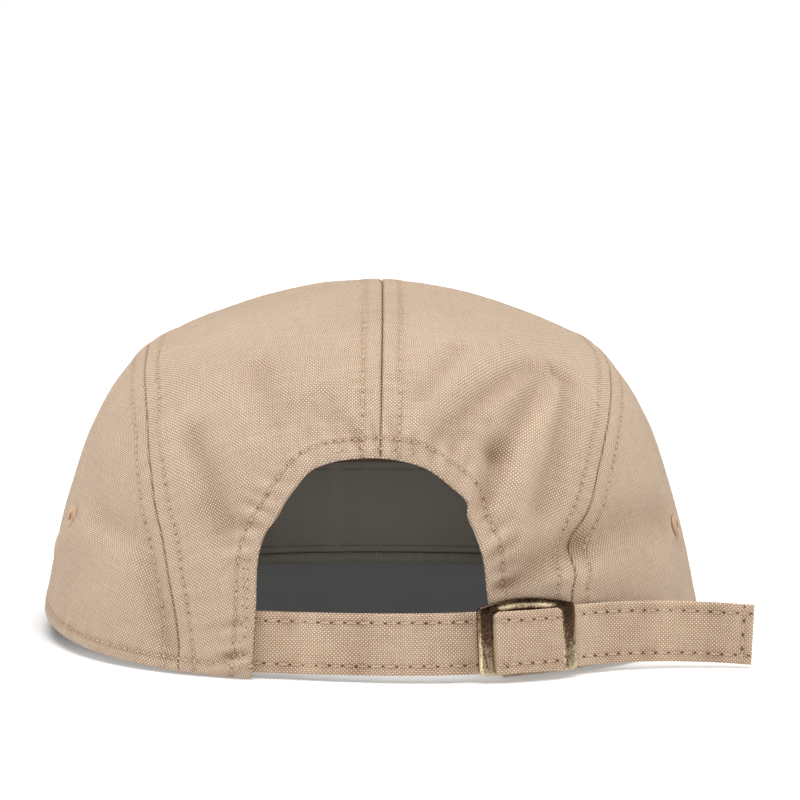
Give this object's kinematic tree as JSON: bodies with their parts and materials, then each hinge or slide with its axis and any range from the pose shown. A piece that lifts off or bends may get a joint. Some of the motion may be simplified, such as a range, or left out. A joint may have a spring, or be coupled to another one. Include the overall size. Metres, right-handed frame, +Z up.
{
  "type": "five panel cap",
  "caption": "Low cotton canvas cap of five sewn panels with a flat peak, a dark sweatband and a strap and slide at the back.",
  "frame": {"origin": "centre of the cap's box on the surface that it rests on", "axes": "+Z up, the peak points along -Y and the strap opening faces +Y"},
  "size_m": [0.1896, 0.2628, 0.0954],
  "materials": {
    "canvas": "plain woven cotton canvas, matt",
    "band_cotton": "dark cotton twill tape, matt",
    "antique_brass": "antique finish, brushed, darkened in the hollows",
    "eyelet_thread": "close buttonhole stitches in cotton thread"
  },
  "bodies": {
    "root": {"front_panel": "canvas", "side_panel_left": "canvas", "side_panel_right": "canvas", "back_panel_left": "canvas", "back_panel_right": "canvas", "peak": "canvas", "sweatband": "band_cotton", "strap": "canvas", "buckle": "antique_brass", "buckle_loop": "canvas", "eyelet_left": "eyelet_thread", "eyelet_right": "eyelet_thread"}
  },
  "joints": []
}
